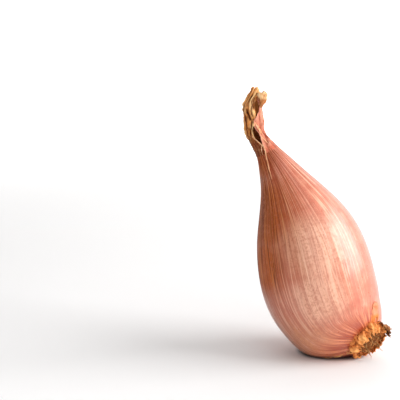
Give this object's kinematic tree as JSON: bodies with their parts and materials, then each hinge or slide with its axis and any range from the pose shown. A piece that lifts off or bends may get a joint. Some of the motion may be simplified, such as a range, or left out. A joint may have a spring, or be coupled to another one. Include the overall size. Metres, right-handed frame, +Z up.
{
  "type": "shallot",
  "caption": "Long shallot with a dry coppery skin, a root plate with stubs, a torn papery collar and dried leaf strips at the pinched neck, standing on a small flat spot.",
  "frame": {"origin": "middle of the small flat spot on the underside that the bulb rests on", "axes": "+Z up, away from the surface it rests on; -X the way the bulb leans, towards its neck; +Y behind it, the root end pointing down to +X and -Y"},
  "size_m": [0.05, 0.0393, 0.0889],
  "materials": {
    "copper_skin": "satin",
    "corky_root": "matte",
    "dry_husk": "matte",
    "dark_husk": "matte"
  },
  "bodies": {
    "root": {"bulb": "copper_skin", "root_plate": "corky_root", "root_1": "corky_root", "root_2": "corky_root", "root_3": "corky_root", "root_4": "corky_root", "root_5": "corky_root", "collar_flap_left": "dry_husk", "collar_flap_front": "dry_husk", "collar_flap_upper": "dry_husk", "collar_flap_right": "dark_husk", "collar_flap_back": "dry_husk", "collar_flap_under": "dry_husk", "skin_tongue": "dry_husk", "skin_fringe": "dry_husk", "neck_leaf_left": "dry_husk", "neck_leaf_right": "copper_skin", "neck_leaf_back": "dark_husk", "neck_hook": "dry_husk", "neck_sliver": "dry_husk"}
  },
  "joints": []
}
